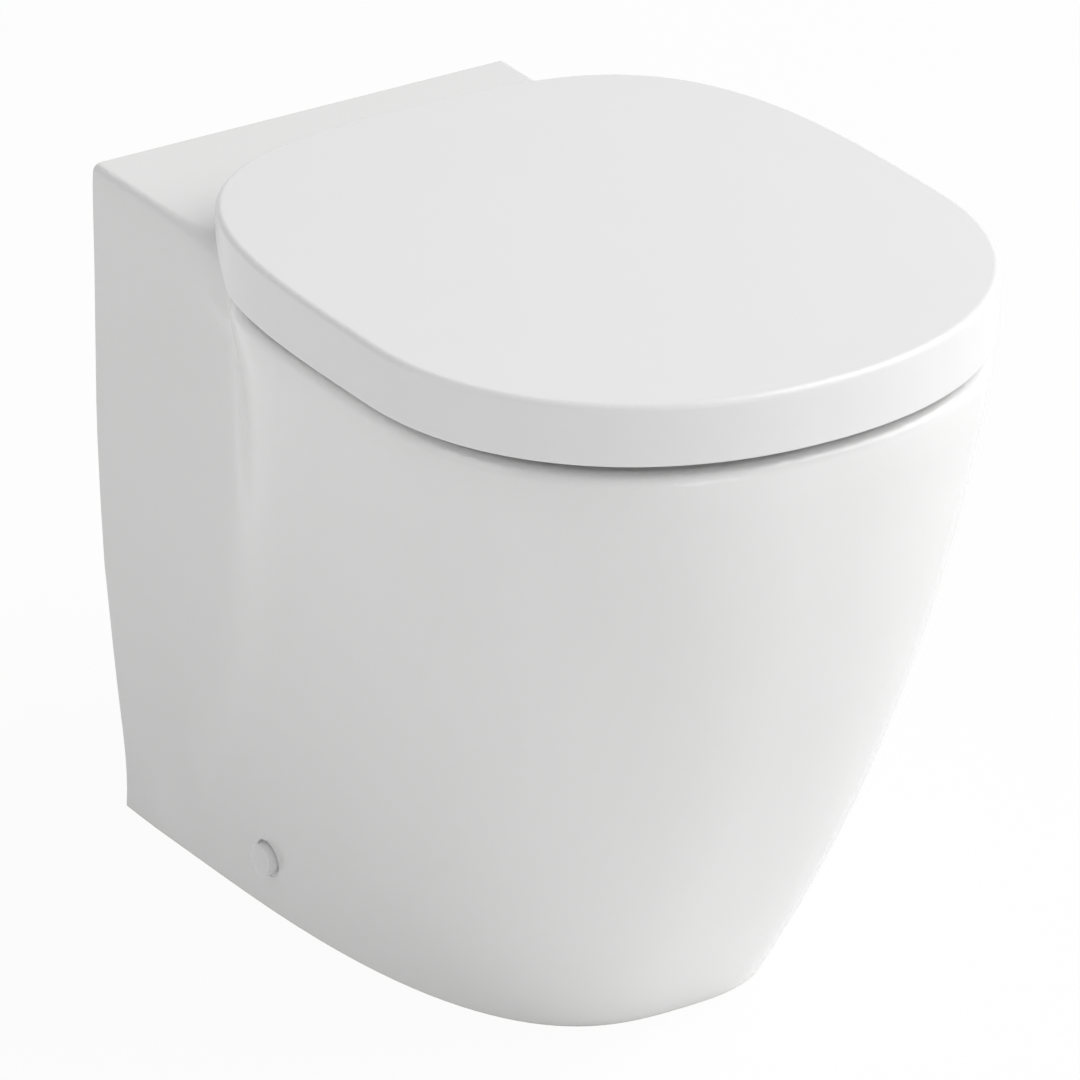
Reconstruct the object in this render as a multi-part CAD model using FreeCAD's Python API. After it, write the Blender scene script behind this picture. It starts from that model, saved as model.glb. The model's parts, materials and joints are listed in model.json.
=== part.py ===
import FreeCAD, Part
import math
import os

V = FreeCAD.Vector
X_AXIS = V(1, 0, 0)
Y_AXIS = V(0, 1, 0)
Z_AXIS = V(0, 0, 1)

# Millimetres. The origin is on the floor in the middle of the toilet's footprint.
# +Z is up, the front faces -Y, and the back of the pan meets the wall at +Y.

# Overall sizes
projection = 536.0          # wall face to the front of the lid
rim_height = 396.0          # floor to the rim and to the deck behind the seat
lid_width = 370.0
deck_width = 272.0          # block behind the bowl, at the top
wall_y = projection / 2
front_y = -projection / 2

# Ceramic
shell = 12.0                # thickness of the pan's outer walls
plate = 14.0                # thickness of the rim and the deck
basin_wall = 11.0           # thickness of the bowl
lip_wall = 9.0              # thickness of the hanging rim lip
glaze_gap = 0.5             # room left round fixings that pass through the ceramic

# Plan of the pan at the rim and at the floor
rim_half = lid_width / 2 - 3.3
rim_front = front_y + 4.0
rim_widest = -82.0          # where the bowl is widest, at the rim
rim_fullness = 2.3
foot_half = 125.7
foot_front = -119.5
foot_widest = 184.0
foot_fullness = 2.84
flank_waist = 26.0          # how far the flank is drawn in half-way up
front_belly = 1.92          # how early the front swells above the floor
widest_sweep = 1.7          # how early the widest line moves forward

level_shares = (0.07, 0.16, 0.27, 0.39, 0.51, 0.62, 0.72, 0.81, 0.88)

# Block behind the bowl
deck_half = deck_width / 2
block_taper = 14.5          # each side of the block leans in by this at the floor
block_straight_z = 250.0    # above this height the block's sides are upright
crease_y = 110.0            # valley between the bowl and the block
crease_top = 6.0            # the valley moves back by this at the rim
crease_foot = 150.0         # and by this at the floor, where it fades away
flank_curl = 3.2            # how sharply the flank turns in to the valley
rim_curl = 2.0              # extra sharpness of that turn at the rim
valley = 7.0                # softness of the valley
heel_set_back = 8.0         # the back edge stands off the wall by this at the floor
heel_top = 150.0            # and meets the wall from this height up

# Rounding of the pan's top edge
deck_round = 5.0
rim_round = 9.0
corner_round = 14.0         # extra roundness where the deck meets the bowl
corner_reach = 40.0

# Bowl
mouth_half = 121.0
mouth_front = -213.0
mouth_rear = 92.0
mouth_widest = -70.0
mouth_front_fullness = 2.2
mouth_rear_fullness = 2.7
channel = 13.0              # width of the flush channel behind the lip
lip_bottom = 360.0
channel_top = 383.0
trap_r = 38.0               # waterway through the trap
sump_z = 62.0
sump_ease = 1.0             # the sump is this much wider than the waterway
mouth_round = 5.0           # rounding of the rim's inner edge
# Bowl levels below the channel: height, half width, front, rear
basin_levels = [(300.0, 131.0, -214.0, 101.0), (220.0, 102.0, -152.0, 78.0), (140.0, 64.0, -82.0, 47.0)]
basin_fullness = 2.2

# Outlet and flush inlet
spigot_r = 51.0
outlet_z = 185.0
outlet_set_back = 30.0      # end of the spigot in front of the wall
spigot_length = 46.0
trap_rise = 50.0            # slope of the rising leg, degrees
trap_low_bend = 70.0
trap_high_bend = 62.0
inlet_z = 336.0
inlet_r = 27.5
inlet_wall = 12.0
inlet_set_back = 28.0
inlet_depth = 40.0
waterway_r = 21.0
seal_bore_r = 22.0
seal_lip = 3.0
seal_flange_r = 33.0
seal_squeeze = 0.1

# Seat ring and lid
lid_bottom = 402.0
lid_edge_top = 438.0        # flat of the lid next to its rounded edge
lid_crown = 2.4
lid_skirt = 5.0
lid_inside = 432.0          # underside of the lid's panel
lid_round = 4.0
lid_hem = 1.4
lid_widest = -94.0
lid_rear = 159.0
lid_front_fullness = 2.13
lid_rear_fullness = 3.41
skirt_trim = 91.0           # the skirt slopes up from here, measured forward of the hinge line
skirt_end = 33.0
lid_web_back = 4.5
seat_bottom = 404.0
seat_thick = 18.0
seat_inset = 9.5            # seat's outer edge inside the lid's outline
seat_rear = 126.0
seat_rear_fullness = 3.0
seat_arm_low = 411.0        # underside of the arms that carry the hinge barrels
seat_hole_half = 112.0
seat_hole_front = -196.0
seat_hole_rear = 66.0
seat_hole_widest = -70.0
seat_hole_fullness = 2.25
seat_outer_round = 6.0
seat_inner_round = 8.0
seat_under_round = 2.0
recess_depth = 7.0
recess_rim = 9.0
seat_top = seat_bottom + seat_thick

# Buffers
seat_buffer_r = 8.0
seat_buffer_at = [(140.0, 30.0), (120.0, -165.0)]
lid_buffer_r = 6.5
lid_buffer_at = [(137.0, -5.0), (115.0, -150.0)]

# Hinge
hinge_y = 150.0
hinge_z = 423.0
knuckle_r = 7.5
post_x = 77.5               # half the spacing of the seat fixing holes
post_wide = 15.0
post_deep = 12.5
post_front = hinge_y - 21.0
head_r = 7.0
knuckle_gap = 0.5
lid_knuckle = 25.0
seat_knuckle = 25.0
pin_r = 3.0
pin_run = 0.05              # running clearance on the hinge pin
pin_seat = 0.03
pin_shy = 0.5               # pin ends inside its barrel and post
bush_r = 5.2
bush_seat = 0.03
post_base_r = 15.0
post_base = 4.0
gasket = 1.5
bolt_r = 4.0
bolt_fit = 0.05
bolt_low = 346.0
bolt_high = 411.0
hinge_hole_r = 7.0
cone_high = 6.0
cone_r = 12.0
cone_low_r = 9.0
nut_high = 10.0
nut_r = 8.0
wing_span = 34.0
wing_thick = 4.0
wing_drop = 5.0

# Floor fixing
fix_y = 102.0
fix_z = 34.0
fix_hole_r = 6.5
spot_depth = 1.6
spot_r = 11.2
sleeve_flange_r = 8.0
sleeve_flange = 1.5
sleeve_bore_r = 3.3
screw_r = 3.0
screw_head_r = 5.5
screw_head = 3.2
cap_r = 9.4
cap_high = 7.6
cap_wall = 1.4
cap_round = 1.5
screw_past = 2.0
bracket_long = 46.0
bracket_foot = 44.0
bracket_thick = 7.0
bracket_high = 52.0
bracket_gap = 0.6           # between the bracket and the pan's wall
bracket_rib = 6.0
floor_hole_r = 4.0
floor_hole_spacing = 170.0
bracket_nut_wide = 10.0
bracket_nut_thick = 5.0


def bowed(t):
    """Curve from 0 at the floor to 1 at the rim that swells early."""
    return 1.0 - (1.0 - t) ** front_belly


def blend(low, high, share):
    return low + (high - low) * share


def height_share(z):
    """0 at the floor and below, 1 at the rim and above."""
    return min(max(z / rim_height, 0.0), 1.0)


def level(z):
    """Plan sizes of the pan at height z: half width, front, widest line, fullness, block, valley."""
    t = height_share(z)
    half = blend(foot_half, rim_half, t) - flank_waist * t * (1.0 - t)
    front = blend(foot_front, rim_front, bowed(t))
    widest = blend(foot_widest, rim_widest, 1.0 - (1.0 - t) ** widest_sweep)
    full = blend(foot_fullness, rim_fullness, t)
    lean = max(0.0, 1.0 - max(z, 0.0) / block_straight_z)
    block = deck_half - block_taper * lean ** 1.5
    crease = crease_y + crease_top * t ** 8 + crease_foot * (1.0 - t) ** 6
    return half, front, widest, full, block, crease


def flank(y, z):
    """Half width of the pan behind its widest line: the bowl's flank runs softly into the block."""
    half, front, widest, full, block, crease = level(z)
    share = (y - widest) / (crease - widest)
    curl = flank_curl + rim_curl * height_share(z) ** 5
    bowl = block + (half - block) * (1.0 - share ** curl)
    soft = valley * min(1.0, share)
    return 0.5 * (bowl + block + math.sqrt((bowl - block) ** 2 + soft ** 2))


def half_plan(z, back):
    """Points of the right half of the pan's plan, from the front tip to the back."""
    half, front, widest, full, block, crease = level(z)
    points = []
    for i in range(61):
        a = math.pi / 2 * i / 60
        x = half * math.sin(a) ** (2.0 / full)
        y = widest - (widest - front) * max(math.cos(a), 0.0) ** (2.0 / full)
        points.append((x, y))
    for i in range(1, 61):
        y = blend(widest, back, i / 60.0)
        points.append((flank(y, z), y))
    return points


def along(points, count):
    """The same open line as evenly spaced points."""
    run = [0.0]
    for a, b in zip(points, points[1:]):
        run.append(run[-1] + math.hypot(b[0] - a[0], b[1] - a[1]))
    out = []
    k = 0
    for i in range(count):
        want = run[-1] * i / (count - 1)
        while k < len(run) - 2 and run[k + 1] < want:
            k += 1
        step = run[k + 1] - run[k]
        f = (want - run[k]) / step if step else 0.0
        out.append((blend(points[k][0], points[k + 1][0], f), blend(points[k][1], points[k + 1][1], f)))
    return out


def pan_columns(z, inset, back, count):
    """Evenly spaced points round the right half of the pan at height z, moved in by inset."""
    line = along(half_plan(z, back), count)
    out = []
    for i, p in enumerate(line):
        a = line[max(i - 1, 0)]
        b = line[min(i + 1, count - 1)]
        length = math.hypot(b[0] - a[0], b[1] - a[1])
        nx = (b[1] - a[1]) / length
        ny = -(b[0] - a[0]) / length
        if i == 0:
            nx, ny = 0.0, -1.0
        if i == count - 1:
            nx, ny = 1.0, 0.0
        out.append((p[0] - nx * inset[i], p[1] - ny * inset[i]))
    return out


def edge_round(y):
    """Radius of the pan's top edge at a place along its side."""
    back_share = min(max((y - rim_widest) / (crease_y - rim_widest), 0.0), 1.0)
    base = blend(rim_round, deck_round, back_share ** 3)
    return base + corner_round * math.exp(-((y - crease_y - crease_top) / corner_reach) ** 2)


def spacing(lines):
    """Parameters from 0 to 1 shared by several lines of points, from their mean spacing."""
    mean = [0.0]
    for i in range(1, len(lines[0])):
        step = sum((line[i] - line[i - 1]).Length for line in lines) / len(lines)
        mean.append(mean[-1] + step)
    return [m / mean[-1] for m in mean]


def smooth_line(points, params):
    curve = Part.BSplineCurve()
    curve.interpolate(Points=points, Parameters=params)
    return curve


def smooth_face(grid):
    """Smooth face through a grid of points."""
    across = spacing(grid)
    columns = [list(c) for c in zip(*grid)]
    up = spacing(columns)
    rows = [smooth_line(row, across) for row in grid]
    poles = [list(c) for c in zip(*[r.getPoles() for r in rows])]
    lines = [smooth_line(column, up) for column in poles]
    first, second = rows[0], lines[0]
    surface = Part.BSplineSurface()
    surface.buildFromPolesMultsKnots(
        [line.getPoles() for line in lines],
        first.getMultiplicities(), second.getMultiplicities(),
        first.getKnots(), second.getKnots(), False, False, first.Degree, second.Degree)
    return surface.toShape()


def pan_block(inset, top, floor, back, count=49):
    """Solid inside the pan's outer surface, moved in by inset, with its top edge rounded."""
    top_line = along(half_plan(top, back), count)
    rounds = [max(edge_round(p[1]) - inset, 3.0) for p in top_line]
    heights = [floor] + [rim_height * share for share in level_shares]
    rows = []
    for z in heights:
        line = pan_columns(z, [inset] * count, back, count)
        rows.append([(p[0], p[1], z) for p in line])
    for step in range(5):
        a = math.pi / 2 * step / 4
        row = []
        for i in range(count):
            z = top - rounds[i] * (1.0 - math.sin(a))
            moved = [inset + r * (1.0 - math.cos(a)) for r in rounds]
            p = pan_columns(z, moved, back, count)[i]
            row.append((p[0], p[1], z))
        rows.append(row)
    grid = []
    for row in rows:
        left = [V(-p[0], p[1], p[2]) for p in reversed(row[1:])]
        right = [V(p[0], p[1], p[2]) for p in row]
        right[0] = V(0, right[0].y, right[0].z)
        grid.append(left + right)
    side = smooth_face(grid)
    low, high = grid[0], grid[-1]
    ends = []
    for edge in side.Edges:
        ends.append((edge, edge.BoundBox))
    bottom = min(ends, key=lambda e: e[1].ZMax)[0]
    upper = max(ends, key=lambda e: e[1].ZMin)[0]
    left = min(ends, key=lambda e: e[1].XMax)[0]
    right = max(ends, key=lambda e: e[1].XMin)[0]
    low_line = Part.makeLine(low[0], low[-1])
    high_line = Part.makeLine(high[0], high[-1])
    faces = [side]
    for group in ([bottom, low_line], [upper, high_line], [left, right, low_line, high_line]):
        faces.append(Part.Face(Part.Wire(Part.__sortEdges__(group))))
    shell_shape = Part.makeShell(faces)
    shell_shape.sewShape()
    solid = Part.makeSolid(shell_shape)
    if solid.Volume < 0:
        solid.reverse()
    return solid


def side_at(y, z):
    """Half width of the pan at any place along its side."""
    half, front, widest, full, block, crease = level(z)
    if y > widest:
        return flank(y, z)
    share = min((widest - y) / (widest - front), 1.0)
    return half * (1.0 - share ** full) ** (1.0 / full)


def oval(half, front, rear, widest, front_full, rear_full, count=40):
    """Egg-shaped closed outline as evenly spaced points from the front tip."""
    right = []
    for i in range(121):
        a = math.pi * i / 120
        nose = math.cos(a) >= 0
        full = front_full if nose else rear_full
        reach = widest - front if nose else rear - widest
        x = half * max(math.sin(a), 0.0) ** (2.0 / full)
        y = widest - math.copysign(abs(math.cos(a)) ** (2.0 / full), math.cos(a)) * reach
        right.append((x, y))
    line = along(right, count // 2 + 1)
    line[0] = (0.0, front)
    line[-1] = (0.0, rear)
    return line + [(-p[0], p[1]) for p in reversed(line[1:-1])]


def loop(points, z):
    curve = Part.BSplineCurve()
    curve.interpolate([V(p[0], p[1], z) for p in points], PeriodicFlag=True)
    return Part.Wire(curve.toShape())


def slab(points, low, high):
    return Part.Face(loop(points, low)).extrude(V(0, 0, high - low))


def rod(at, axis, r, length):
    return Part.makeCylinder(r, length, at, axis)


def drill(shape, at, axis, r, depth):
    """Cut a round hole that runs 1 mm past both its ends."""
    return shape.cut(rod(at - axis, axis, r, depth + 2.0))


def brick(low, high):
    return Part.makeBox(high[0] - low[0], high[1] - low[1], high[2] - low[2], V(*low))


def plate_x(points, x_low, x_high):
    """Plate cut to a Y-Z outline and extended along X."""
    corners = [V(x_low, p[0], p[1]) for p in points]
    return Part.Face(Part.makePolygon(corners + corners[:1])).extrude(V(x_high - x_low, 0, 0))


def closed_edges(shape, z):
    """Closed edges that lie flat at height z."""
    flat = []
    for edge in shape.Edges:
        box = edge.BoundBox
        if edge.isClosed() and abs(edge.valueAt(edge.FirstParameter).z - z) < 0.01 and box.ZLength < 0.01:
            flat.append(edge)
    return sorted(flat, key=lambda e: e.Length)


def both_sides(shape):
    """The shape and its mirror image across the middle plane."""
    return [shape, shape.mirror(V(0, 0, 0), X_AXIS)]


def group(shapes):
    return Part.makeCompound(shapes)


def mouth(grow):
    return oval(mouth_half + grow, mouth_front - grow, mouth_rear + grow, mouth_widest,
                mouth_front_fullness, mouth_rear_fullness)


def basin(grow, top):
    """Bowl hollow, or its outside when grown by the wall, down to the round sump."""
    wide = lip_wall + channel + grow
    sections = [loop(mouth(wide), top), loop(mouth(wide - 1.0), lip_bottom - 14.0)]
    for z, half, front, rear in basin_levels:
        middle = (front + rear) / 2
        outline = oval(half + grow, front - grow, rear + grow, middle, basin_fullness, basin_fullness)
        sections.append(loop(outline, z))
    r = trap_r + grow
    sections.append(loop(oval(r, -r, r, 0.0, 2.0, 2.0), sump_z))
    return Part.makeLoft(sections, True, False)


def trap_path(past_end):
    """Middle line of the trap in the plane X = 0, from the sump to the outlet."""
    rise = math.radians(trap_rise)
    low, high = trap_low_bend, trap_high_bend
    climb = (outlet_z - sump_z - (low + high) * (1.0 - math.cos(rise))) / math.sin(rise)
    run = (low + high) * math.sin(rise) + climb * math.cos(rise)
    end_y = wall_y - outlet_set_back
    y0 = end_y - spigot_length - run
    half = rise / 2
    a = V(0, y0, sump_z)
    b = a + V(0, low * math.sin(rise), low * (1.0 - math.cos(rise)))
    mid_ab = a + V(0, low * math.sin(half), low * (1.0 - math.cos(half)))
    c = b + V(0, climb * math.cos(rise), climb * math.sin(rise))
    d = V(0, end_y - spigot_length, outlet_z)
    mid_cd = d - V(0, high * math.sin(half), high * (1.0 - math.cos(half)))
    e = V(0, end_y + past_end, outlet_z)
    edges = [Part.makeLine(V(0, 0, sump_z), a), Part.Arc(a, mid_ab, b).toShape(), Part.makeLine(b, c),
             Part.Arc(c, mid_cd, d).toShape(), Part.makeLine(d, e)]
    return Part.Wire(edges)


def trap(r, past_end):
    ring = Part.Wire(Part.makeCircle(r, V(0, 0, sump_z), Y_AXIS))
    return trap_path(past_end).makePipeShell([ring], True, False)


def less(shape, tools):
    for tool in tools:
        shape = shape.cut(tool)
    return shape


def pan():
    """Ceramic pan: outer shell, bowl with hanging rim lip, trap with spigot, flush inlet and fixing holes."""
    inlet_end = wall_y - inlet_set_back
    inlet_start = mouth_rear
    inlet_run = inlet_end - inlet_start
    sump = V(0, 0, sump_z)
    under = rim_height - plate
    void = less(pan_block(shell, under, -5.0, wall_y + 5.0), [
        basin(basin_wall, under + 1.0),
        Part.makeSphere(trap_r + basin_wall + sump_ease, sump),
        trap(spigot_r, 0.0),
        rod(V(0, inlet_start, inlet_z), Y_AXIS, inlet_r + inlet_wall, inlet_run)])
    lip = slab(mouth(lip_wall), lip_bottom, rim_height)
    lip = lip.cut(slab(mouth(0.0), lip_bottom - 1.0, rim_height + 1.0))
    body = less(pan_block(0.0, rim_height, 0.0, wall_y), [
        void,
        basin(0.0, channel_top).cut(lip),
        slab(mouth(0.0), lip_bottom + 4.0, rim_height + 1.0),
        Part.makeSphere(trap_r + sump_ease, sump),
        trap(trap_r, 1.0),
        rod(V(0, inlet_end - inlet_depth, inlet_z), Y_AXIS, inlet_r, inlet_depth + 1.0),
        rod(V(0, inlet_start - 10.0, inlet_z), Y_AXIS, waterway_r, inlet_run),
        plate_x([(wall_y, heel_top), (wall_y - heel_set_back, 0.0), (wall_y - heel_set_back, -1.0),
                 (wall_y + 1.0, -1.0), (wall_y + 1.0, heel_top)], -deck_width, deck_width)])
    for side in (1, -1):
        out = V(side, 0, 0)
        body = less(body, [
            rod(V(side * post_x, bolt_y, under - 1.0), Z_AXIS, hinge_hole_r, plate + 2.0),
            rod(V(side * (face_x - 2 * shell), fix_y, fix_z), out, fix_hole_r, 3 * shell),
            rod(V(side * face_x, fix_y, fix_z), out, spot_r, shell)])
    rim_edge = closed_edges(body, rim_height)[-1]
    return body.Solids[0].makeFillet(mouth_round, [rim_edge])


def seat_outline(inset):
    half = lid_width / 2 - seat_inset
    return oval(half - inset, front_y + seat_inset + inset, seat_rear - inset, lid_widest,
                lid_front_fullness, seat_rear_fullness)


def seat_hole(grow):
    return oval(seat_hole_half + grow, seat_hole_front - grow, seat_hole_rear + grow, seat_hole_widest,
                seat_hole_fullness, seat_hole_fullness)


def knuckle(x_low, x_high):
    """Hinge barrel with its bush bore."""
    long = x_high - x_low
    return rod(V(x_low, hinge_y, hinge_z), X_AXIS, knuckle_r, long)


def bush_bore(x_low, x_high):
    return rod(V(x_low - 1.0, hinge_y, hinge_z), X_AXIS, bush_r + bush_seat, x_high - x_low + 2.0)


def seat_ring():
    """Seat ring with rounded edges, a recess underneath and two hinge barrels."""
    ring = slab(seat_outline(0.0), seat_bottom, seat_top)
    ring = ring.cut(slab(seat_hole(0.0), seat_bottom - 1.0, seat_top + 1.0)).Solids[0]
    inner, outer = closed_edges(ring, seat_top)
    ring = ring.makeFillet(seat_inner_round, [inner])
    ring = ring.makeFillet(seat_outer_round, [closed_edges(ring, seat_top)[-1]])
    ring = ring.makeFillet(seat_under_round, closed_edges(ring, seat_bottom))
    recess_top = seat_bottom + recess_depth
    recess = slab(seat_outline(recess_rim), seat_bottom - 1.0, recess_top)
    ring = ring.cut(recess.cut(slab(seat_hole(recess_rim), seat_bottom - 2.0, recess_top + 1.0)))
    for arm in both_sides(brick((seat_knuckle_in, seat_rear - recess_rim - 2.0, seat_arm_low),
                                (seat_knuckle_out, hinge_y, seat_top))):
        ring = ring.fuse(arm)
    for barrel in both_sides(knuckle(seat_knuckle_in, seat_knuckle_out)):
        ring = ring.fuse(barrel)
    ring = less(ring, both_sides(bush_bore(seat_knuckle_in, seat_knuckle_out)))
    return ring.Solids[0]


def lid_outline(inset):
    return oval(lid_width / 2 - inset, front_y + inset, lid_rear - inset, lid_widest,
                lid_front_fullness, lid_rear_fullness)


def over_crown():
    """Solid above the lid's gently crowned top."""
    middle = (front_y + lid_rear) / 2
    half_x = lid_width / 2 + 20.0
    half_y = (lid_rear - front_y) / 2 + 20.0
    grid = []
    for i in range(-3, 4):
        row = []
        for j in range(-3, 4):
            height = lid_edge_top + lid_crown * (1.0 - (i * i + j * j) / 9.0)
            row.append(V(half_x * j / 3.0, middle + half_y * i / 3.0, height))
        grid.append(row)
    return smooth_face(grid).extrude(V(0, 0, 4 * lid_round))


def lid():
    """Lid with a crowned panel, a skirt that wraps over the seat and two hinge barrels."""
    cover = slab(lid_outline(0.0), lid_bottom, lid_edge_top + lid_round).cut(over_crown()).Solids[0]
    top = sorted([e for e in cover.Edges if e.isClosed()], key=lambda e: e.BoundBox.ZMin)[-1]
    cover = cover.makeFillet(lid_round, [top])
    cover = cover.makeFillet(lid_hem, closed_edges(cover, lid_bottom))
    inside = slab(lid_outline(lid_skirt), lid_bottom - 1.0, lid_inside)
    back = lid_rear + 10.0
    open_back = plate_x([(hinge_y - skirt_trim, lid_bottom - 1.0), (hinge_y - skirt_end, lid_inside),
                         (back, lid_inside), (back, lid_bottom - 1.0)], -lid_width, lid_width)
    cover = less(cover, [inside, open_back])
    for web in both_sides(brick((lid_knuckle_in, hinge_y - knuckle_r, hinge_z),
                                (lid_knuckle_out, hinge_y + lid_web_back, lid_inside + 2.0))):
        cover = cover.fuse(web)
    for barrel in both_sides(knuckle(lid_knuckle_in, lid_knuckle_out)):
        cover = cover.fuse(barrel)
    cover = less(cover, both_sides(bush_bore(lid_knuckle_in, lid_knuckle_out)))
    return cover.Solids[0]


def seat_buffers():
    pads = []
    high = seat_bottom + recess_depth - rim_height
    for x, y in seat_buffer_at:
        pads += both_sides(rod(V(x, y, rim_height), Z_AXIS, seat_buffer_r, high))
    return group(pads)


def lid_buffers():
    pads = []
    for x, y in lid_buffer_at:
        pads += both_sides(rod(V(x, y, seat_top), Z_AXIS, lid_buffer_r, lid_inside - seat_top))
    return group(pads)


def hinge_post():
    """Hinge post: round base on the deck, pillar, and a head that reaches back to the hinge line."""
    low = rim_height + gasket
    x0 = post_x - post_wide / 2
    x1 = post_x + post_wide / 2
    post = rod(V(post_x, bolt_y, low), Z_AXIS, post_base_r, post_base)
    post = post.fuse(brick((x0, post_front, low), (x1, post_front + post_deep, hinge_z + head_r)))
    post = post.fuse(brick((x0, post_front, hinge_z - head_r), (x1, hinge_y, hinge_z + head_r)))
    post = post.fuse(rod(V(x0, hinge_y, hinge_z), X_AXIS, head_r, post_wide))
    post = drill(post, V(x0, hinge_y, hinge_z), X_AXIS, pin_r + pin_seat, post_wide)
    post = drill(post, V(post_x, bolt_y, low), Z_AXIS, bolt_r + bolt_fit, bolt_high - low)
    return post.removeSplitter().Solids[0]


def bush(x_low, x_high):
    sleeve = rod(V(x_low, hinge_y, hinge_z), X_AXIS, bush_r, x_high - x_low)
    return drill(sleeve, V(x_low, hinge_y, hinge_z), X_AXIS, pin_r + pin_run, x_high - x_low)


def left(shape):
    return shape.mirror(V(0, 0, 0), X_AXIS)


def hinge_pin():
    x1 = post_x + post_wide / 2 - pin_shy
    return rod(V(seat_knuckle_in + pin_shy, hinge_y, hinge_z), X_AXIS, pin_r, x1 - seat_knuckle_in - pin_shy)


def hinge_gasket():
    at = V(post_x, bolt_y, rim_height)
    return drill(rod(at, Z_AXIS, post_base_r, gasket), at, Z_AXIS, bolt_r + bolt_fit, gasket)


def hinge_bolt():
    return rod(V(post_x, bolt_y, bolt_low), Z_AXIS, bolt_r, bolt_high - bolt_low)


def cone_washer():
    at = V(post_x, bolt_y, rim_height - plate - cone_high)
    cone = Part.makeCone(cone_low_r, cone_r, cone_high, at, Z_AXIS)
    return drill(cone, at, Z_AXIS, bolt_r + bolt_fit, cone_high)


def wing_nut():
    low = rim_height - plate - cone_high - nut_high
    nut = rod(V(post_x, bolt_y, low), Z_AXIS, nut_r, nut_high)
    wings = brick((post_x - wing_span / 2, bolt_y - wing_thick / 2, low - wing_drop),
                  (post_x + wing_span / 2, bolt_y + wing_thick / 2, low + nut_high - wing_drop))
    at = V(post_x, bolt_y, low - wing_drop)
    nut = drill(nut.fuse(wings), at, Z_AXIS, bolt_r + bolt_fit, nut_high + wing_drop)
    return nut.removeSplitter().Solids[0]


def bracket():
    """Floor bracket inside the pan: foot with a screw hole, upright for the side screw and two ribs."""
    y0 = fix_y - bracket_long / 2
    y1 = fix_y + bracket_long / 2
    wall = bracket_x - bracket_thick
    angle = brick((bracket_x - bracket_foot, y0, 0.0), (bracket_x, y1, bracket_thick))
    angle = angle.fuse(brick((wall, y0, 0.0), (bracket_x, y1, bracket_high)))
    toe = bracket_x - bracket_foot + bracket_rib
    low = bracket_thick - 1.0
    for y in (y0, y1 - bracket_rib):
        corners = [V(wall + 1.0, y, low), V(toe, y, low), V(wall + 1.0, y, bracket_high - bracket_rib)]
        rib = Part.Face(Part.makePolygon(corners + corners[:1])).extrude(V(0, bracket_rib, 0))
        angle = angle.fuse(rib)
    angle = drill(angle, V(floor_hole_x, fix_y, 0.0), Z_AXIS, floor_hole_r, bracket_thick)
    angle = drill(angle, V(wall, fix_y, fix_z), X_AXIS, sleeve_bore_r, bracket_thick)
    return angle.removeSplitter().Solids[0]


def bracket_nut():
    x1 = bracket_x - bracket_thick
    half = bracket_nut_wide / 2
    nut = brick((x1 - bracket_nut_thick, fix_y - half, fix_z - half), (x1, fix_y + half, fix_z + half))
    at = V(x1 - bracket_nut_thick, fix_y, fix_z)
    return drill(nut, at, X_AXIS, screw_r + pin_seat, bracket_nut_thick)


def side_sleeve():
    tube = rod(V(bracket_x, fix_y, fix_z), X_AXIS, fix_hole_r - glaze_gap, face_x - bracket_x)
    tube = tube.fuse(rod(V(face_x, fix_y, fix_z), X_AXIS, sleeve_flange_r, sleeve_flange))
    return drill(tube, V(bracket_x, fix_y, fix_z), X_AXIS, sleeve_bore_r, face_x + sleeve_flange - bracket_x)


def side_screw():
    x1 = face_x + sleeve_flange
    x0 = bracket_x - bracket_thick - bracket_nut_thick - screw_past
    shank = rod(V(x0, fix_y, fix_z), X_AXIS, screw_r, x1 - x0)
    return shank.fuse(rod(V(x1, fix_y, fix_z), X_AXIS, screw_head_r, screw_head)).removeSplitter()


def side_cap():
    """Push-on cap over the side screw."""
    cup = rod(V(face_x, fix_y, fix_z), X_AXIS, cap_r, cap_high)
    outer = [e for e in cup.Edges if e.isClosed() and e.BoundBox.XMin > face_x + cap_high - 0.1]
    cup = cup.makeFillet(cap_round, outer)
    room = rod(V(face_x - 1.0, fix_y, fix_z), X_AXIS, sleeve_flange_r + bolt_fit, cap_high - cap_wall + 1.0)
    return cup.cut(room)


def inlet_seal():
    """Rubber seal in the flush inlet, for the pipe from the cistern behind the wall."""
    end = wall_y - inlet_set_back
    start = V(0, end - inlet_depth, inlet_z)
    ring = rod(start, Y_AXIS, inlet_r - seal_squeeze, inlet_depth)
    ring = ring.fuse(rod(V(0, end, inlet_z), Y_AXIS, seal_flange_r, seal_lip))
    return drill(ring, start, Y_AXIS, seal_bore_r, inlet_depth + seal_lip)


# Places that follow from the sizes above
bolt_y = post_front + post_deep / 2
face_x = side_at(fix_y, fix_z) - spot_depth
bracket_x = side_at(fix_y - bracket_long / 2, 0.0) - shell - bracket_gap
floor_hole_x = floor_hole_spacing / 2
lid_knuckle_out = post_x - post_wide / 2 - knuckle_gap
lid_knuckle_in = lid_knuckle_out - lid_knuckle
seat_knuckle_out = lid_knuckle_in - knuckle_gap
seat_knuckle_in = seat_knuckle_out - seat_knuckle


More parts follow.
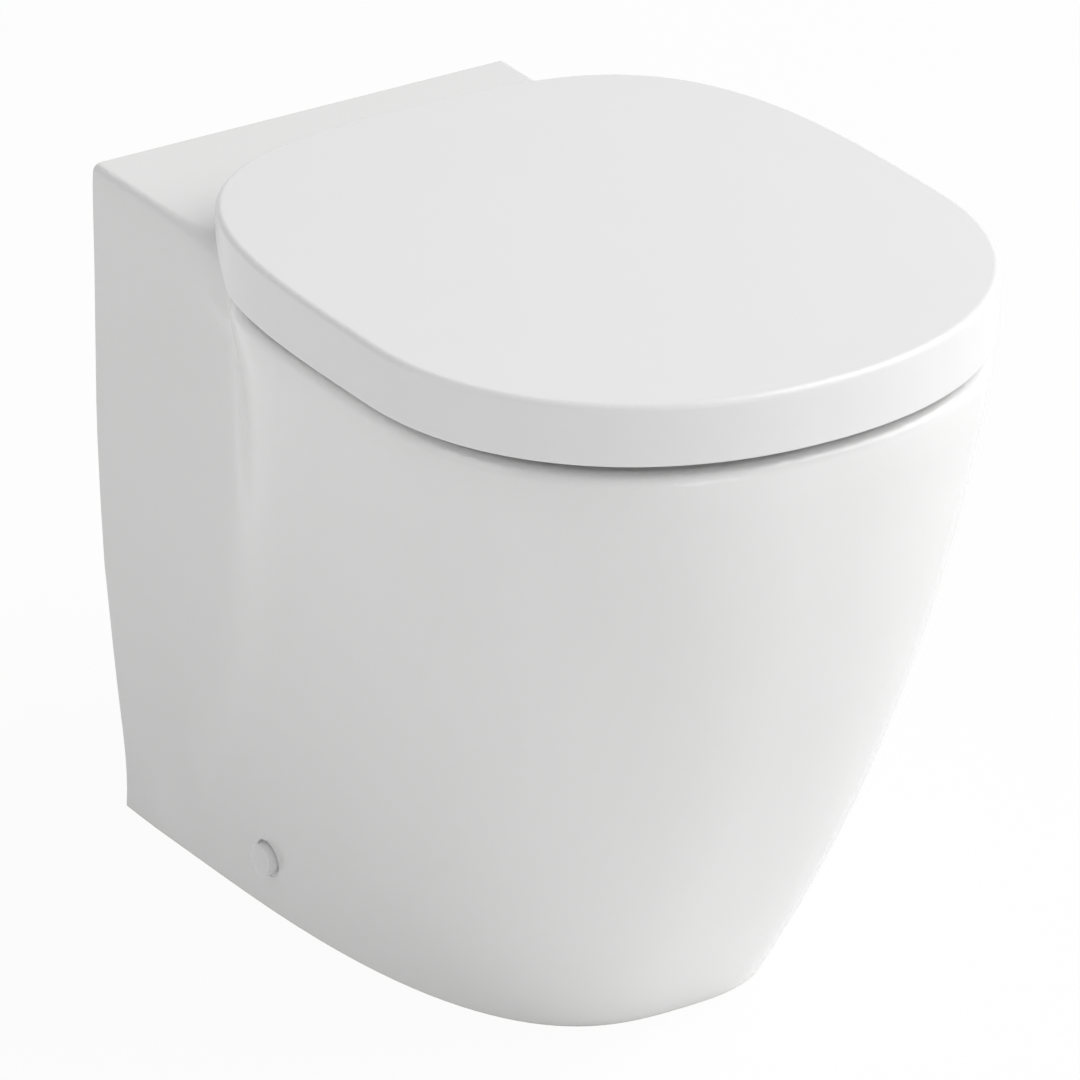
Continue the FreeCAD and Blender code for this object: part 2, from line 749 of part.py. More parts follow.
def main():
    os.makedirs("parts", exist_ok=True)
    post, pin, angle, cap = hinge_post(), hinge_pin(), bracket(), side_cap()
    parts = {
        "pan": pan(),
        "seat_ring": seat_ring(),
        "lid": lid(),
        "seat_buffers": seat_buffers(),
        "lid_buffers": lid_buffers(),
        "hinge_post_right": post,
        "hinge_post_left": left(post),
        "hinge_pin_right": pin,
        "hinge_pin_left": left(pin),
        "seat_damper": bush(seat_knuckle_in, seat_knuckle_out),
        "seat_bush": left(bush(seat_knuckle_in, seat_knuckle_out)),
        "lid_bush": bush(lid_knuckle_in, lid_knuckle_out),
        "lid_damper": left(bush(lid_knuckle_in, lid_knuckle_out)),
        "hinge_gaskets": group(both_sides(hinge_gasket())),
        "hinge_bolts": group(both_sides(hinge_bolt())),
        "cone_washers": group(both_sides(cone_washer())),
        "wing_nuts": group(both_sides(wing_nut())),
        "bracket_right": angle,
        "bracket_left": left(angle),
        "bracket_nuts": group(both_sides(bracket_nut())),
        "side_sleeves": group(both_sides(side_sleeve())),
        "side_screws": group(both_sides(side_screw())),
        "side_cap_right": cap,
        "side_cap_left": left(cap),
        "inlet_seal": inlet_seal(),
    }
    for name, shape in parts.items():
        shape.exportStep("parts/" + name + ".step")
        print(name, shape.isValid(), len(shape.Solids), len(shape.Faces), round(shape.Volume / 1000, 2))


if __name__ == "__main__":
    main()
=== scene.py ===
# %% [markdown]
# # A back-to-wall toilet
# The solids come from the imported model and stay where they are. This lesson gives every one of them a
# finish, turns a few small rubber, plastic and steel pieces more finely than the solids show them, and
# lights the whole in a plain white studio.

# %% Load the frame
import json
import math
import bpy
import numpy as np
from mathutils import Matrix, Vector


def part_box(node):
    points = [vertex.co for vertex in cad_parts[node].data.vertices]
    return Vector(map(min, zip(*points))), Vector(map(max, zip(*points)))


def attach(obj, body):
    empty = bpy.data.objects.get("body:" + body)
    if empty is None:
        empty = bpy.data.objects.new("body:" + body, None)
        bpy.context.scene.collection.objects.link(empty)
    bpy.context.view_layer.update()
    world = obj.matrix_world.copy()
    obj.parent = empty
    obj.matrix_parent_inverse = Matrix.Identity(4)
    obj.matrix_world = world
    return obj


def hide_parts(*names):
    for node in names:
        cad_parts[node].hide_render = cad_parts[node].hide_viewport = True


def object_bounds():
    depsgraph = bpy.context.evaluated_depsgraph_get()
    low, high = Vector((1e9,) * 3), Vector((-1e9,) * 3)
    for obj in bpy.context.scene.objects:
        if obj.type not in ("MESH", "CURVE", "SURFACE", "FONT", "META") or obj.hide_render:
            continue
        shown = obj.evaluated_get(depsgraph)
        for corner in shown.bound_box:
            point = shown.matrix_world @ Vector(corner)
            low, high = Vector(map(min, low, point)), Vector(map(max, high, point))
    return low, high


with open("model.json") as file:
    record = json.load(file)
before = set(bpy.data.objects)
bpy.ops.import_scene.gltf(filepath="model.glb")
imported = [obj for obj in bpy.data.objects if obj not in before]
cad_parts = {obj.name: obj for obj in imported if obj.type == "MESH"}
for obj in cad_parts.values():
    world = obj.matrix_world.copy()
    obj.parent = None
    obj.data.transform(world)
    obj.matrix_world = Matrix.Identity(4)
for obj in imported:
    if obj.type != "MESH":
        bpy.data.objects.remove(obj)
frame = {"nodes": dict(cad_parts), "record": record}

CAD_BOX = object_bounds()
NODES = frame["nodes"]
MM = 0.001
print("loaded", len(NODES), "nodes, box", [round(v, 4) for corner in CAD_BOX for v in corner])

# %% [markdown]
# ## One smooth skin
# A solid reaches Blender as separate patches, one for each face, and every patch is shaded by itself.
# A glaze would show a faint line where two patches meet smoothly. Welding the patches, splitting them
# again only at real corners, and weighting the normals by face size gives one even skin. These are
# modifiers, so the solids themselves stay as they were packed.

# %% Smooth shading across patches
CORNER_ANGLE = math.radians(32)
WELD_DISTANCE = 0.002 * MM
LARGE_FACE_WEIGHT = 60


def smooth_skin(node):
    """Weld the patches, split at corners sharper than the angle, and weight normals by face size."""
    weld = node.modifiers.new("weld", "WELD")
    weld.merge_threshold = WELD_DISTANCE
    split = node.modifiers.new("corners", "EDGE_SPLIT")
    split.split_angle = CORNER_ANGLE
    split.use_edge_sharp = False
    even = node.modifiers.new("even", "WEIGHTED_NORMAL")
    even.mode = "FACE_AREA_WITH_ANGLE"
    even.weight = LARGE_FACE_WEIGHT


for node in NODES.values():
    smooth_skin(node)
print("smoothed", len(NODES), "nodes")

# %% [markdown]
# ## Softened corners
# Castings and mouldings never have knife edges. A narrow bevel on the small hardware catches a line of
# light along each corner. It could be modelled edge by edge, but a bevel that picks edges by their angle
# does it in one step and keeps the solids as they are.

# %% Bevel the small hardware
BEVEL_WIDTH = 0.5 * MM
BEVEL_ANGLE = math.radians(50)
BEVEL_SEGMENTS = 3
AFTER_WELD = 1


def soften_corners(node):
    """Bevel every corner sharper than the angle, after the weld and before the corners are split."""
    bevel = node.modifiers.new("soft_corners", "BEVEL")
    bevel.width = BEVEL_WIDTH
    bevel.segments = BEVEL_SEGMENTS
    bevel.limit_method = "ANGLE"
    bevel.angle_limit = BEVEL_ANGLE
    bevel.use_clamp_overlap = True
    node.modifiers.move(len(node.modifiers) - 1, AFTER_WELD)


HARDWARE = ["hinge_post_right", "hinge_post_left", "bracket_right", "bracket_left", "wing_nuts"]
for name in HARDWARE:
    soften_corners(NODES[name])
print("softened", len(HARDWARE), "nodes")

# %% [markdown]
# ## Shared effects
# Each effect is a node group with named sockets. The groups only put out masks and heights; the shader
# itself stays in each material. Heights are in metres, so a bump has its true size.

# %% Node group helper


class Effect:
    """A shader node group under construction, with short calls to add and join its nodes."""

    def __init__(self, name, inputs, outputs):
        self.tree = bpy.data.node_groups.new(name, "ShaderNodeTree")
        for label, kind, value in inputs:
            socket = self.tree.interface.new_socket(label, in_out="INPUT", socket_type=kind)
            if value is not None:
                socket.default_value = value
        for label, kind in outputs:
            self.tree.interface.new_socket(label, in_out="OUTPUT", socket_type=kind)
        self.source = self.tree.nodes.new("NodeGroupInput").outputs
        self.result = self.tree.nodes.new("NodeGroupOutput").inputs

    def join(self, value, socket):
        """Link another socket, or set a plain value."""
        if isinstance(value, bpy.types.NodeSocket):
            self.tree.links.new(value, socket)
        else:
            socket.default_value = value

    def noise(self, vector, scale, detail=2.0, roughness=0.5):
        """Noise from 0 to 1, with about as many waves to a metre as the scale says."""
        node = self.tree.nodes.new("ShaderNodeTexNoise")
        self.join(vector, node.inputs["Vector"])
        self.join(scale, node.inputs["Scale"])
        node.inputs["Detail"].default_value = detail
        node.inputs["Roughness"].default_value = roughness
        return node.outputs["Fac"]

    def maths(self, operation, *values):
        """One step of arithmetic on sockets or plain values."""
        node = self.tree.nodes.new("ShaderNodeMath")
        node.operation = operation
        for value, socket in zip(values, node.inputs):
            self.join(value, socket)
        return node.outputs[0]

    def stretch(self, vector, scale):
        """A vector with each axis multiplied by its own scale."""
        node = self.tree.nodes.new("ShaderNodeVectorMath")
        node.operation = "MULTIPLY"
        self.join(vector, node.inputs[0])
        self.join(scale, node.inputs[1])
        return node.outputs[0]

    def ramp(self, value, low, high):
        """0 below low, 1 above high and smooth between."""
        node = self.tree.nodes.new("ShaderNodeMapRange")
        node.interpolation_type = "SMOOTHSTEP"
        self.join(value, node.inputs["Value"])
        self.join(low, node.inputs["From Min"])
        self.join(high, node.inputs["From Max"])
        return node.outputs["Result"]


# %% [markdown]
# ### Glaze waves
# Glaze melts and flows in the kiln, so it is never quite flat: long waves of a few hundredths of a
# millimetre and a much finer skin like orange peel. They could be pushed into the mesh, which would take
# very many small faces. Two sizes of noise give the heights instead, and their sum goes to a bump.

# %% Glaze waves
glaze = Effect(
    "glaze_waves",
    [("Vector", "NodeSocketVector", None), ("Wave Height", "NodeSocketFloat", 0.04 * MM),
     ("Peel Height", "NodeSocketFloat", 0.001 * MM)],
    [("Height", "NodeSocketFloat"), ("Pool", "NodeSocketFloat")])
GLAZE_WAVE_SCALE, GLAZE_PEEL_SCALE = 11.0, 260.0
slow = glaze.noise(glaze.source["Vector"], GLAZE_WAVE_SCALE, detail=1.0)
fine = glaze.noise(glaze.source["Vector"], GLAZE_PEEL_SCALE, detail=1.0)
wave = glaze.maths("MULTIPLY", slow, glaze.source["Wave Height"])
peel = glaze.maths("MULTIPLY", fine, glaze.source["Peel Height"])
glaze.join(glaze.maths("ADD", wave, peel), glaze.result["Height"])
glaze.join(slow, glaze.result["Pool"])
print("made", glaze.tree.name)

# %% [markdown]
# ### Moulded grain
# A moulding takes the fine texture of its steel mould. Noise with several octaves gives the grain's
# height, and a broad one gives patches that are a little glossier or duller. Every plastic and rubber
# piece uses the same group with its own scale and height.

# %% Moulded grain
grain = Effect(
    "moulded_grain",
    [("Vector", "NodeSocketVector", None), ("Grain Scale", "NodeSocketFloat", 900.0),
     ("Grain Height", "NodeSocketFloat", 0.002 * MM)],
    [("Height", "NodeSocketFloat"), ("Patch", "NodeSocketFloat")])
GRAIN_PATCH_SCALE = 24.0
dots = grain.noise(grain.source["Vector"], grain.source["Grain Scale"], detail=3.0, roughness=0.6)
patch = grain.noise(grain.source["Vector"], GRAIN_PATCH_SCALE)
grain.join(grain.maths("MULTIPLY", dots, grain.source["Grain Height"]), grain.result["Height"])
grain.join(patch, grain.result["Patch"])
print("made", grain.tree.name)

# %% [markdown]
# ### Bare clay
# Glaze is wiped off where the pan stands in the kiln and where it is ground flat, and in the hollow behind
# the bowl the sprayed glaze thins out to bare clay. The mask could be painted by hand, but these places are
# known from the object's own frame: the underside, the back edges, and the space between the side walls.
# So the mask is a product of steps in x, y and z. The two waterways, the outlet and the flush inlet, are
# taken out again because water runs over glaze.

# %% Bare clay in the hollow
clay = Effect("bare_clay", [("Vector", "NodeSocketVector", None)], [("Bare", "NodeSocketFloat")])
HOLLOW_FRONT, HOLLOW_TOP = 124 * MM, 388 * MM
HOLLOW_HALF_LOW, HOLLOW_HALF_HIGH, HOLLOW_STRAIGHT = 115 * MM, 129 * MM, 200 * MM
STEP, OVERSPRAY = 1.5 * MM, 45 * MM
axes = clay.tree.nodes.new("ShaderNodeSeparateXYZ")
clay.join(clay.source["Vector"], axes.inputs[0])
across, deep, high = axes.outputs
wall = clay.maths("MULTIPLY_ADD", clay.ramp(high, 0.0, HOLLOW_STRAIGHT),
                  HOLLOW_HALF_HIGH - HOLLOW_HALF_LOW, HOLLOW_HALF_LOW)
inside_wall = clay.maths("SUBTRACT", wall, clay.maths("ABSOLUTE", across))
between_walls = clay.ramp(inside_wall, -STEP, STEP)
behind_bowl = clay.ramp(deep, HOLLOW_FRONT - STEP, HOLLOW_FRONT + OVERSPRAY)
under_deck = clay.maths("SUBTRACT", 1.0, clay.ramp(high, HOLLOW_TOP - STEP, HOLLOW_TOP + STEP))
hollow = clay.maths("MULTIPLY", clay.maths("MULTIPLY", between_walls, behind_bowl), under_deck)
print("hollow from", HOLLOW_FRONT, "m back")

# %% Glazed waterways and ground edges
OUTLET_HEIGHT, OUTLET_GLAZED = 185 * MM, 45 * MM
INLET_HEIGHT, INLET_GLAZED = 336 * MM, 24.5 * MM
WALL_Y = CAD_BOX[1][1]
GROUND_FADE = (0.6 * MM, 0.2 * MM)
WIPED_FADE = (0.2 * MM, 0.9 * MM)


def outside_waterway(height, radius):
    """0 within the radius of a waterway that runs back at this height, and 1 outside it."""
    rise = clay.maths("SUBTRACT", high, height)
    squares = clay.maths("ADD", clay.maths("MULTIPLY", across, across), clay.maths("MULTIPLY", rise, rise))
    return clay.ramp(clay.maths("SQRT", squares), radius - STEP, radius + STEP)


hollow = clay.maths("MULTIPLY", hollow, outside_waterway(OUTLET_HEIGHT, OUTLET_GLAZED))
hollow = clay.maths("MULTIPLY", hollow, outside_waterway(INLET_HEIGHT, INLET_GLAZED))
ground_back = clay.ramp(deep, WALL_Y - GROUND_FADE[0], WALL_Y - GROUND_FADE[1])
underside = clay.maths("SUBTRACT", 1.0, clay.ramp(high, *WIPED_FADE))
bare = clay.maths("MAXIMUM", clay.maths("MAXIMUM", hollow, ground_back), underside)
clay.join(bare, clay.result["Bare"])
print("made", clay.tree.name)

# %% [markdown]
# ### Brushed lines
# Turned and drawn metal has fine lines along one direction. An anisotropic shader would only stretch the
# highlight. Noise squeezed across the direction and stretched along it draws the lines themselves.

# %% Brushed lines
brushed = Effect(
    "brushed_lines",
    [("Vector", "NodeSocketVector", None), ("Stretch", "NodeSocketVector", (30.0, 900.0, 900.0)),
     ("Line Height", "NodeSocketFloat", 0.002 * MM)],
    [("Height", "NodeSocketFloat"), ("Line", "NodeSocketFloat")])
LINE_LOW, LINE_HIGH = 0.3, 0.7
line = brushed.noise(brushed.stretch(brushed.source["Vector"], brushed.source["Stretch"]), 1.0, detail=3.0)
brushed.join(brushed.maths("MULTIPLY", line, brushed.source["Line Height"]), brushed.result["Height"])
brushed.join(brushed.ramp(line, LINE_LOW, LINE_HIGH), brushed.result["Line"])
print("made", brushed.tree.name)

# %% [markdown]
# ## Finishes
# Each finish is one material, filed under the name of its slot. A small helper makes the Principled
# shader, reads Object coordinates and joins a height through a Bump node, so that every finish below says
# only what is its own.

# %% Material helper
FINISHES = {}


class Finish:
    """A material with a Principled shader, Object coordinates and short calls to place effects."""

    def __init__(self, name):
        self.material = bpy.data.materials.new(name)
        self.material.use_nodes = True
        self.nodes = self.material.node_tree.nodes
        self.links = self.material.node_tree.links
        self.shader = self.nodes["Principled BSDF"]
        self.place = self.nodes.new("ShaderNodeTexCoord").outputs["Object"]
        FINISHES[name] = self.material
        print("finish", name)

    def set(self, **values):
        """Set plain shader inputs by name."""
        for label, value in values.items():
            self.shader.inputs[label.replace("_", " ")].default_value = value

    def effect(self, effect, **values):
        """Place a shared effect with its own values and give its outputs."""
        node = self.nodes.new("ShaderNodeGroup")
        node.node_tree = effect.tree
        self.links.new(self.place, node.inputs["Vector"])
        for label, value in values.items():
            node.inputs[label.replace("_", " ")].default_value = value
        return node.outputs

    def colours(self, mask, low, high):
        """Base colour that runs from low to high with the mask."""
        mix = self.nodes.new("ShaderNodeMix")
        mix.data_type = "RGBA"
        self.links.new(mask, mix.inputs["Factor"])
        mix.inputs["A"].default_value = (*low, 1.0)
        mix.inputs["B"].default_value = (*high, 1.0)
        self.links.new(mix.outputs["Result"], self.shader.inputs["Base Color"])

    def roughness(self, mask, low, high):
        """Roughness that runs from low to high with the mask."""
        node = self.nodes.new("ShaderNodeMapRange")
        self.links.new(mask, node.inputs["Value"])
        node.inputs["To Min"].default_value = low
        node.inputs["To Max"].default_value = high
        self.links.new(node.outputs["Result"], self.shader.inputs["Roughness"])

    def cover(self, label, mask, value):
        """Lead a shader input from what feeds it now to another value where the mask is 1."""
        socket = self.shader.inputs[label]
        colour = socket.type == "RGBA"
        mix = self.nodes.new("ShaderNodeMix")
        mix.data_type = "RGBA" if colour else "FLOAT"
        self.links.new(mask, mix.inputs["Factor"])
        self.links.new(socket.links[0].from_socket, mix.inputs["A"])
        mix.inputs["B"].default_value = (*value, 1.0) if colour else value
        self.links.new(mix.outputs["Result"], socket)

    def bump(self, height):
        """Feed a height in metres to the normal."""
        node = self.nodes.new("ShaderNodeBump")
        node.inputs["Distance"].default_value = 1.0
        self.links.new(height, node.inputs["Height"])
        self.links.new(node.outputs["Normal"], self.shader.inputs["Normal"])


# %% [markdown]
# ### Vitreous china
# The pan is fired clay under a white glass. The glaze is smooth and hard, a little whiter and glossier
# where it pools, and it reflects like glass. A clear coat over a clay colour could show both layers, but
# the glaze is opaque, so one shader with the glass's index is enough, and the clay covers it by its mask.

# %% Vitreous china
THIN_GLAZE, POOLED_GLAZE = (0.835, 0.835, 0.83), (0.855, 0.855, 0.853)
THIN_ROUGHNESS, POOLED_ROUGHNESS = 0.20, 0.14
CLAY_COLOUR, CLAY_ROUGHNESS = (0.74, 0.70, 0.64), 0.72
GLASS_INDEX = 1.52


def vitreous_china():
    """White glaze between a thin and a pooled tone, with clay where the mask uncovers it."""
    finish = Finish("vitreous_china")
    waves = finish.effect(glaze)
    finish.colours(waves["Pool"], THIN_GLAZE, POOLED_GLAZE)
    finish.roughness(waves["Pool"], THIN_ROUGHNESS, POOLED_ROUGHNESS)
    finish.bump(waves["Height"])
    uncovered = finish.effect(clay)["Bare"]
    finish.cover("Base Color", uncovered, CLAY_COLOUR)
    finish.cover("Roughness", uncovered, CLAY_ROUGHNESS)
    finish.set(IOR=GLASS_INDEX)


vitreous_china()

# %% [markdown]
# ### Plastics and rubbers
# The seat and the lid are pressed from a hard white plastic. It is glossy but softer than glaze, and a
# close look finds the mould's grain. The buffers, the seals, the dampers, the wing nuts, the brackets and
# the screw caps are moulded as well. They differ only in colour, grain and gloss, so one function makes
# all of these finishes.

# %% Plastics and rubbers
PLASTIC_INDEX = 1.5


def moulded(name, dark, light, dull, bright, scale, height):
    """Moulded finish between a dark, dull and a light, bright patch, with grain of a scale and height."""
    finish = Finish(name)
    skin = finish.effect(grain, Grain_Scale=scale, Grain_Height=height)
    finish.colours(skin["Patch"], dark, light)
    finish.roughness(skin["Patch"], dull, bright)
    finish.bump(skin["Height"])
    finish.set(IOR=PLASTIC_INDEX)


moulded("seat_plastic", dark=(0.838, 0.838, 0.838), light=(0.852, 0.852, 0.852),
        dull=0.27, bright=0.22, scale=420.0, height=0.0025 * MM)
moulded("buffer_rubber", dark=(0.62, 0.62, 0.61), light=(0.72, 0.72, 0.71),
        dull=0.62, bright=0.50, scale=700.0, height=0.004 * MM)
moulded("damper_plastic", dark=(0.13, 0.13, 0.14), light=(0.18, 0.18, 0.19),
        dull=0.60, bright=0.50, scale=800.0, height=0.004 * MM)
moulded("black_rubber", dark=(0.022, 0.022, 0.024), light=(0.04, 0.04, 0.043),
        dull=0.75, bright=0.60, scale=600.0, height=0.006 * MM)
moulded("nylon", dark=(0.60, 0.59, 0.55), light=(0.69, 0.68, 0.64),
        dull=0.55, bright=0.42, scale=700.0, height=0.004 * MM)
moulded("cap_plastic", dark=(0.82, 0.82, 0.82), light=(0.85, 0.85, 0.85),
        dull=0.27, bright=0.22, scale=700.0, height=0.002 * MM)

# %% [markdown]
# ### Metals
# The hinge posts are plated and nearly mirror bright; the pins, bolts and screws are plain steel with
# drawn lines. Both are the same shader with other lines, colours and gloss.

# %% Metals


def metal(name, dark, light, dull, bright, stretch):
    """Bare metal between a dark, dull and a light, bright line, with lines squeezed by the stretch."""
    finish = Finish(name)
    lines = finish.effect(brushed, Stretch=stretch)
    finish.colours(lines["Line"], dark, light)
    finish.roughness(lines["Line"], dull, bright)
    finish.bump(lines["Height"])
    finish.set(Metallic=1.0)


metal("hinge_metal", dark=(0.66, 0.67, 0.68), light=(0.74, 0.75, 0.76),
      dull=0.16, bright=0.10, stretch=(60, 60, 700))
metal("steel", dark=(0.46, 0.47, 0.48), light=(0.60, 0.61, 0.62),
      dull=0.38, bright=0.28, stretch=(900, 900, 40))

# %% [markdown]
# ### Painting the solids
# The record names a slot for every node. Reading it there keeps one list of which piece is made of what.

# %% Give every node its finish
for part in frame["record"]["subparts"]:
    node = NODES[part["node"]]
    if not node.material_slots:
        node.data.materials.append(None)
    for material_slot in node.material_slots:
        material_slot.material = FINISHES[part["material_slot"]]
print("painted", len(NODES), "nodes with", len(FINISHES), "finishes")

# %% [markdown]
# ## Turned pieces
# The buffers, the inlet seal, the screw caps and the bolts are round. A screw modifier could turn each from
# a drawn line. Here a profile of radius and height is carried round an axis as whole arrays, because then
# the radius may also change with the angle, which the bolts' threads need.

# %% Profiles
AROUND = 48
CUTS = 3


def rounded(corners, closed=False):
    """Corner cutting: every span gives the points at one and at three quarters of its length.
    The two ends of an open line stay where they are."""
    line = np.asarray(corners, float)
    for _ in range(CUTS):
        after = np.roll(line, -1, axis=0) if closed else line[1:]
        before = line if closed else line[:-1]
        cut = np.stack([0.75 * before + 0.25 * after, 0.25 * before + 0.75 * after], axis=1).reshape(-1, 2)
        line = cut if closed else np.concatenate([line[:1], cut, line[-1:]])
    return line


def quads(rows, closed):
    """Corners of a grid's faces. Its columns wrap round, and so do its rows where it is closed."""
    index = np.arange(rows * AROUND).reshape(rows, AROUND)
    above = np.roll(index, -1, axis=0)
    faces = np.stack([index, np.roll(index, -1, axis=1), np.roll(above, -1, axis=1), above], axis=-1)
    return (faces if closed else faces[:-1]).reshape(-1, 4)


def round_grid(radius, height):
    """Points (radius cos a, radius sin a, height), with a row for each height and a column for each a."""
    a = np.linspace(0.0, 2.0 * np.pi, AROUND, endpoint=False)
    radius = np.broadcast_to(radius, (len(height), AROUND))
    tall = np.broadcast_to(height[:, None], radius.shape)
    return np.stack([radius * np.cos(a), radius * np.sin(a), tall], axis=-1).reshape(-1, 3)


# %% [markdown]
# A solid piece starts and ends on its axis, where one pole closes the surface. A ring has a closed
# profile and needs no pole.

# %% Turned solids and rings


def turned(radius, height):
    """Closed solid from rings of the given radius and height, with a pole at each end's height."""
    poles = np.array([(0.0, 0.0, height[0]), (0.0, 0.0, height[-1])])
    points = np.concatenate([round_grid(radius, height), poles])
    first = np.arange(AROUND)
    after = np.roll(first, -1)
    last = (len(height) - 1) * AROUND
    bottom = np.stack([np.full(AROUND, len(points) - 2), after, first], axis=1)
    top = np.stack([np.full(AROUND, len(points) - 1), last + first, last + after], axis=1)
    return points, quads(len(height), False), np.concatenate([bottom, top])


def turned_profile(corners):
    """Solid turned from a rounded line of (radius, height) corners."""
    line = rounded(corners)[1:-1]
    return turned(line[:, :1], line[:, 1])


def turned_ring(corners):
    """Ring turned from a rounded closed line of (radius, height) corners."""
    line = rounded(corners, closed=True)
    return round_grid(line[:, :1], line[:, 1]), quads(len(line), True), np.empty((0, 3), int)


# %% [markdown]
# One more helper places copies of a turned shape, joins them into one mesh and lets it ride on a body. The
# height axis becomes X, Y or Z by moving the three columns round, which turns nothing inside out.

# %% Place and join
ROLL = {"Z": 0, "X": 1, "Y": 2}


def place_copies(name, shape, axis, places, body, slot, *nodes, facing=1):
    """Copies of a shape at several places, in millimetres, as one piece that stands for some nodes.
    A shape that faces the other way is turned half round."""
    points, four, three = shape
    turned_points = np.roll(points * (facing, 1, facing), ROLL[axis], axis=1)
    copies = (turned_points[None] + np.asarray(places, float)[:, None]).reshape(-1, 3) * MM
    step = (np.arange(len(places)) * len(points))[:, None, None]
    faces = (four[None] + step).reshape(-1, 4).tolist() + (three[None] + step).reshape(-1, 3).tolist()
    mesh = bpy.data.meshes.new(name)
    mesh.from_pydata(copies.tolist(), [], faces)
    mesh.shade_smooth()
    mesh.materials.append(FINISHES[slot])
    item = bpy.data.objects.new(name, mesh)
    bpy.context.scene.collection.objects.link(item)
    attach(item, body)
    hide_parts(*nodes)
    print(name, len(mesh.polygons), "faces")


def both_sides(places):
    """Every place together with its mirror image across x = 0."""
    return [(sign * x, y, z) for x, y, z in places for sign in (1, -1)]


# %% [markdown]
# ### Buffers
# Rubber buffers keep the seat off the rim and the lid off the seat. Each has a soft foot and a groove
# where it is pushed into its hole. The solids show plain cylinders; a turned profile of a few corners
# gives the foot and the groove.

# %% Buffers
RIM_Z, SEAT_TOP_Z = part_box("pan")[1].z / MM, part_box("lid_buffers")[0].z / MM
SEAT_PADS = [(140, 30, RIM_Z), (120, -165, RIM_Z)]
LID_PADS = [(137, -5, SEAT_TOP_Z), (115, -150, SEAT_TOP_Z)]
seat_pad = turned_profile([(0, 0), (6.2, 0), (7.6, 1.4), (8, 4.4), (6.7, 5.3), (6.7, 6.5), (8, 7.4),
                           (8, 15), (0, 15)])
lid_pad = turned_profile([(0, 0), (3.6, 0), (5.8, 1.4), (6.5, 3.8), (5.2, 5), (5.2, 6.2), (6.5, 7),
                          (6.5, 10), (0, 10)])
place_copies("seat_pads", seat_pad, "Z", both_sides(SEAT_PADS), "seat", "buffer_rubber", "seat_buffers")
place_copies("lid_pads", lid_pad, "Z", both_sides(LID_PADS), "lid", "buffer_rubber", "lid_buffers")

# %% [markdown]
# ### Inlet seal
# The seal in the flush inlet is a rubber sleeve. Ridges outside grip the ceramic, three lips inside close
# on the pipe, and a flange sits on the end. Rings could be added to a plain sleeve one by one, but as one
# closed profile the whole seal stays a single skin.

# %% Inlet seal
seal_low, seal_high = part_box("inlet_seal")
SEAL_AT = (0.0, seal_low.y / MM, (seal_low.z + seal_high.z) / 2 / MM)
RIDGES, LIPS = (3, 9, 15, 21), (31, 19, 7)
seal_foot = [(23, 0), (26.6, 0)]
seal_ridges = [corner for up in RIDGES for corner in ((27.4, up), (26.2, up + 3))]
seal_flange = [(27, 32), (27, 40), (32.6, 40), (33, 41.5), (32.4, 43), (24.6, 43), (23, 41)]
seal_lips = [corner for up in LIPS for corner in ((23, up + 4), (22.05, up), (23, up - 4))]
seal = turned_ring(seal_foot + seal_ridges + seal_flange + seal_lips)
place_copies("flush_seal", seal, "Y", [SEAL_AT], "pan", "black_rubber", "inlet_seal")

# %% [markdown]
# ### Screw caps
# A push-on cap with a softly domed face covers each side screw near the floor. A bevelled cylinder would
# come close, but the dome needs its own profile. The two caps face opposite ways, so the left one is the
# same shape turned half round.

# %% Screw caps
cap = turned_profile([(0, 0), (9, 0), (9.4, 0.6), (9.4, 5.6), (9.2, 6.8), (8.4, 7.3), (4, 7.6), (0, 7.6)])
for name, facing in (("right", 1), ("left", -1)):
    cap_low, cap_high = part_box("side_cap_" + name)
    seat_x = (cap_low.x if facing > 0 else cap_high.x) / MM
    centre = (cap_low + cap_high) / 2 / MM
    place_copies("screw_cap_" + name, cap, "X", [(seat_x, centre.y, centre.z)], "pan", "cap_plastic",
                 "side_cap_" + name, facing=facing)

# %% [markdown]
# ### Hinge bolts
# The bolts under the hinge posts are threaded all the way. A thread could be a profile swept along a helix
# and joined to a rod. It is simpler as one surface: a ridge climbs by one pitch in each turn, so the radius
# depends only on how far the height is ahead of the angle, counted in pitches.

# %% Hinge bolts
bolt_low, bolt_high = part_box("hinge_bolts")
BOLT_R, THREAD_DEPTH, PITCH = 4.0, 0.7, 1.25
BOLT_ROWS = 365
BOLT_AT = (bolt_high.x / MM - BOLT_R, (bolt_low.y + bolt_high.y) / 2 / MM, bolt_low.z / MM)
bolt_height = np.linspace(0.0, (bolt_high.z - bolt_low.z) / MM, BOLT_ROWS)
turn_share = np.arange(AROUND) / AROUND
ahead = np.mod(bolt_height[:, None] / PITCH - turn_share, 1.0)
fade = np.clip(np.minimum(bolt_height, bolt_height[::-1]) / PITCH, 0.0, 1.0)[:, None]
bolt_radius = BOLT_R - THREAD_DEPTH * (1.0 - fade * (1.0 - np.abs(2.0 * ahead - 1.0)))
bolt = turned(bolt_radius, bolt_height)
place_copies("seat_bolts", bolt, "Z", both_sides([BOLT_AT]), "pan", "steel", "hinge_bolts")

# %% [markdown]
# ## The studio
# The photograph is a cut-out on white with a high, very broad light on the right, so the left flank is
# pale grey and the right side almost white. A white floor and a white world do much of it. To the camera,
# and in reflections, both are plain white; as light, the world is weaker, so that the lamps still shape
# the object.

# %% World
AMBIENT = 0.40
world = bpy.data.worlds.new("studio")
bpy.context.scene.world = world
world.use_nodes = True
world_nodes, world_links = world.node_tree.nodes, world.node_tree.links


